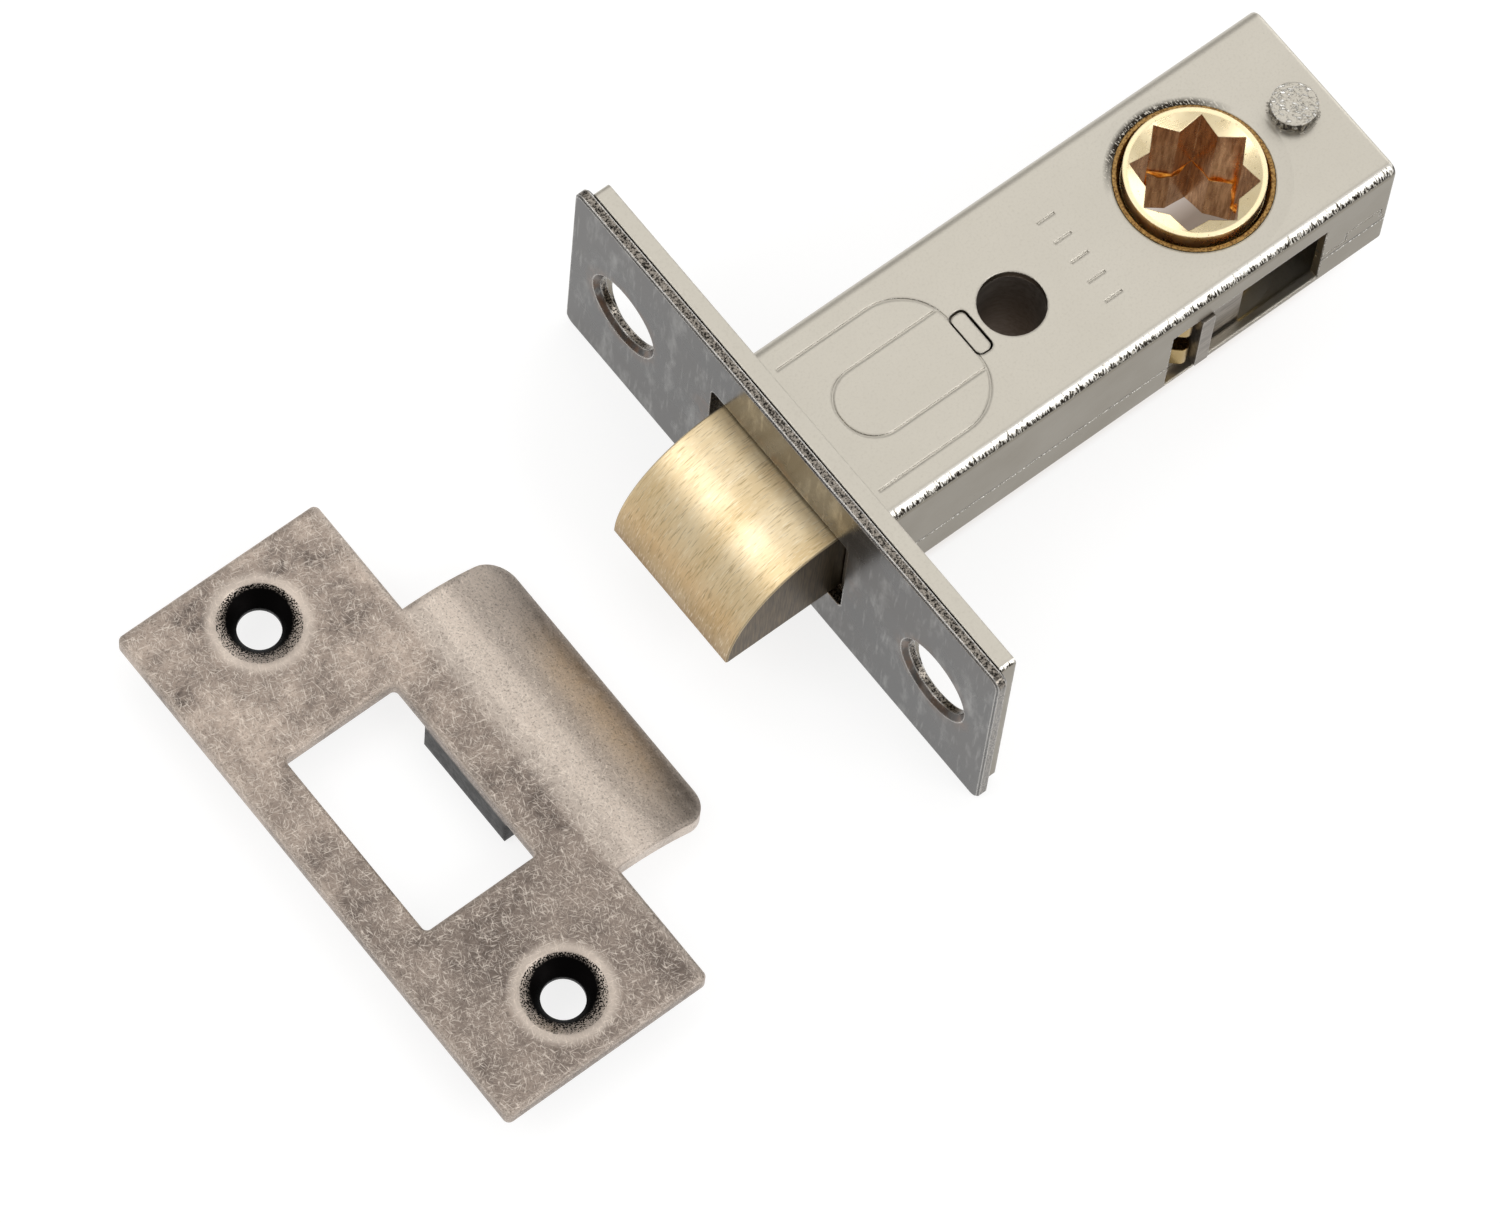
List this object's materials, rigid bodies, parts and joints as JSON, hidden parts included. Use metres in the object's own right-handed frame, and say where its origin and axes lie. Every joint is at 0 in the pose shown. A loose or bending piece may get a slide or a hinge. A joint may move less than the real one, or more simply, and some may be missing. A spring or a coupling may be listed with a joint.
{
  "type": "tubular mortice latch",
  "caption": "Sprung tubular mortice latch with bevelled brass bolt, star spindle follower, double forend and a lipped strike plate.",
  "frame": {"origin": "centre of the outer forend's front face, on the bolt's centre line between the two screw holes", "axes": "+X the way the bolt shoots, +Y along the forend, +Z along the spindle (up, as the latch lies on a bench)"},
  "size_m": [0.1104, 0.0577, 0.0238],
  "materials": {
    "stained_steel": "stained satin steel",
    "nickel_plate": "satin nickel plate",
    "bright_steel": "plain mill steel",
    "dark_steel": "dark oxidised steel",
    "spring_steel": "drawn spring wire",
    "yellow_brass": "bright machined brass",
    "satin_brass": "satin brushed brass",
    "antique_pewter": "antique pewter plate, relieved"
  },
  "bodies": {
    "case": {"outer_forend": "stained_steel", "inner_forend": "nickel_plate", "case_upper_shell": "nickel_plate", "case_lower_shell": "nickel_plate", "rear_rivet": "nickel_plate", "rear_spacer": "bright_steel", "spring_abutment": "nickel_plate", "bolt_through_sleeve": "dark_steel", "spring_guide_pin": "bright_steel", "spring_washer": "bright_steel", "upper_follower_bush": "yellow_brass", "lower_follower_bush": "yellow_brass", "bolt_spring": "spring_steel"},
    "follower": {"follower_upper_half": "yellow_brass", "follower_lower_half": "yellow_brass"},
    "bolt": {"bolt_head": "satin_brass", "drawbar": "bright_steel", "drawbar_rivets": "bright_steel"},
    "strike": {"strike_plate": "antique_pewter"}
  },
  "joints": [
    {"name": "follower_turn", "type": "hinge", "parent": "case", "child": "follower", "pos_m": [-0.045, 0, 0], "axis": [0, 0, 1], "range_deg": [0, 58]},
    {"name": "bolt_slide", "type": "slide", "parent": "case", "child": "bolt", "axis": [1, 0, 0], "range_m": [-0.01027, 0], "stiffness_N_per_m": 450, "springref_m": 0.012, "deforming": ["bolt_spring"]},
    {"name": "strike_lift", "type": "slide", "parent": "case", "child": "strike", "axis": [0, 0, 1], "range_m": [0, 0.03]}
  ],
  "couplings": [
    {"joint": "follower_turn", "follows": "bolt_slide", "rad_per_m": -98.522}
  ]
}
